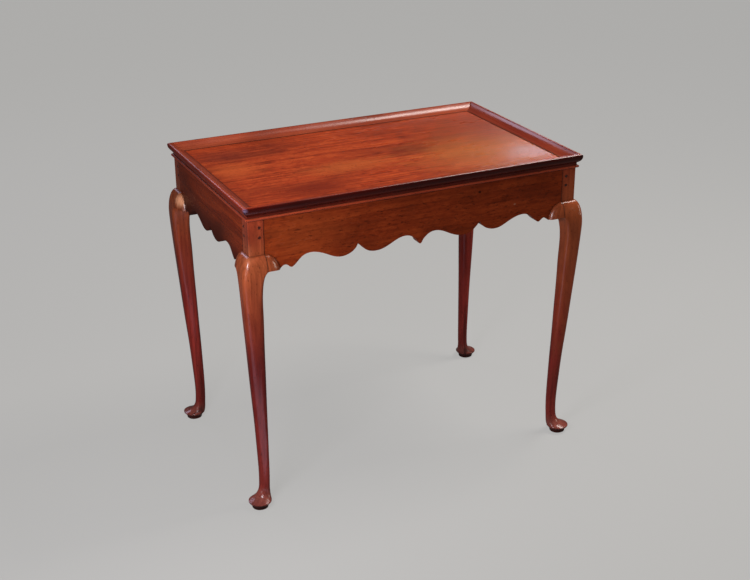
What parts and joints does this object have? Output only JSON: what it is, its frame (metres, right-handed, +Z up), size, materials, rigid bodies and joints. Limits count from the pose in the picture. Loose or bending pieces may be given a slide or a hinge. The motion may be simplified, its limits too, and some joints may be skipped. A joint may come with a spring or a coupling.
{
  "type": "tray top tea table",
  "caption": "Rectangular tea table with a moulded tray rim, scalloped aprons and cabriole legs on pad feet.",
  "frame": {"origin": "on the floor under the middle of the table", "axes": "+X to the right along the front, +Y from the front to the back, +Z up"},
  "size_m": [0.7806, 0.4922, 0.668],
  "materials": {
    "tray_board_wood": "cherry board, rubbed oil varnish with a soft gloss",
    "leg_wood": "carved cherry, glossy old varnish",
    "apron_wood": "sawn cherry board, glossy old varnish",
    "moulding_wood": "planed cherry moulding, glossy old varnish, darker in the hollows",
    "peg_wood": "end grain, dark with old varnish",
    "glue_block_wood": "bare aged pine",
    "brad_iron": "hand-cut iron, dulled"
  },
  "bodies": {
    "root": {"apron_back": "apron_wood", "apron_front": "apron_wood", "apron_left": "apron_wood", "apron_right": "apron_wood", "bead_back": "moulding_wood", "bead_brads": "brad_iron", "bead_front": "moulding_wood", "bead_left": "moulding_wood", "bead_right": "moulding_wood", "glue_block_back_1": "glue_block_wood", "glue_block_back_2": "glue_block_wood", "glue_block_back_3": "glue_block_wood", "glue_block_front_1": "glue_block_wood", "glue_block_front_2": "glue_block_wood", "glue_block_front_3": "glue_block_wood", "glue_block_left": "glue_block_wood", "glue_block_right": "glue_block_wood", "knee_block_back_left_on_back": "leg_wood", "knee_block_back_left_on_left": "leg_wood", "knee_block_back_right_on_back": "leg_wood", "knee_block_back_right_on_right": "leg_wood", "knee_block_front_left_on_front": "leg_wood", "knee_block_front_left_on_left": "leg_wood", "knee_block_front_right_on_front": "leg_wood", "knee_block_front_right_on_right": "leg_wood", "leg_back_left": "leg_wood", "leg_back_right": "leg_wood", "leg_front_left": "leg_wood", "leg_front_right": "leg_wood", "rim_brads": "brad_iron", "tenon_pegs_back": "peg_wood", "tenon_pegs_front": "peg_wood", "tenon_pegs_left": "peg_wood", "tenon_pegs_right": "peg_wood", "tray_board": "tray_board_wood", "tray_rim_back": "moulding_wood", "tray_rim_front": "moulding_wood", "tray_rim_left": "moulding_wood", "tray_rim_right": "moulding_wood"}
  },
  "joints": []
}
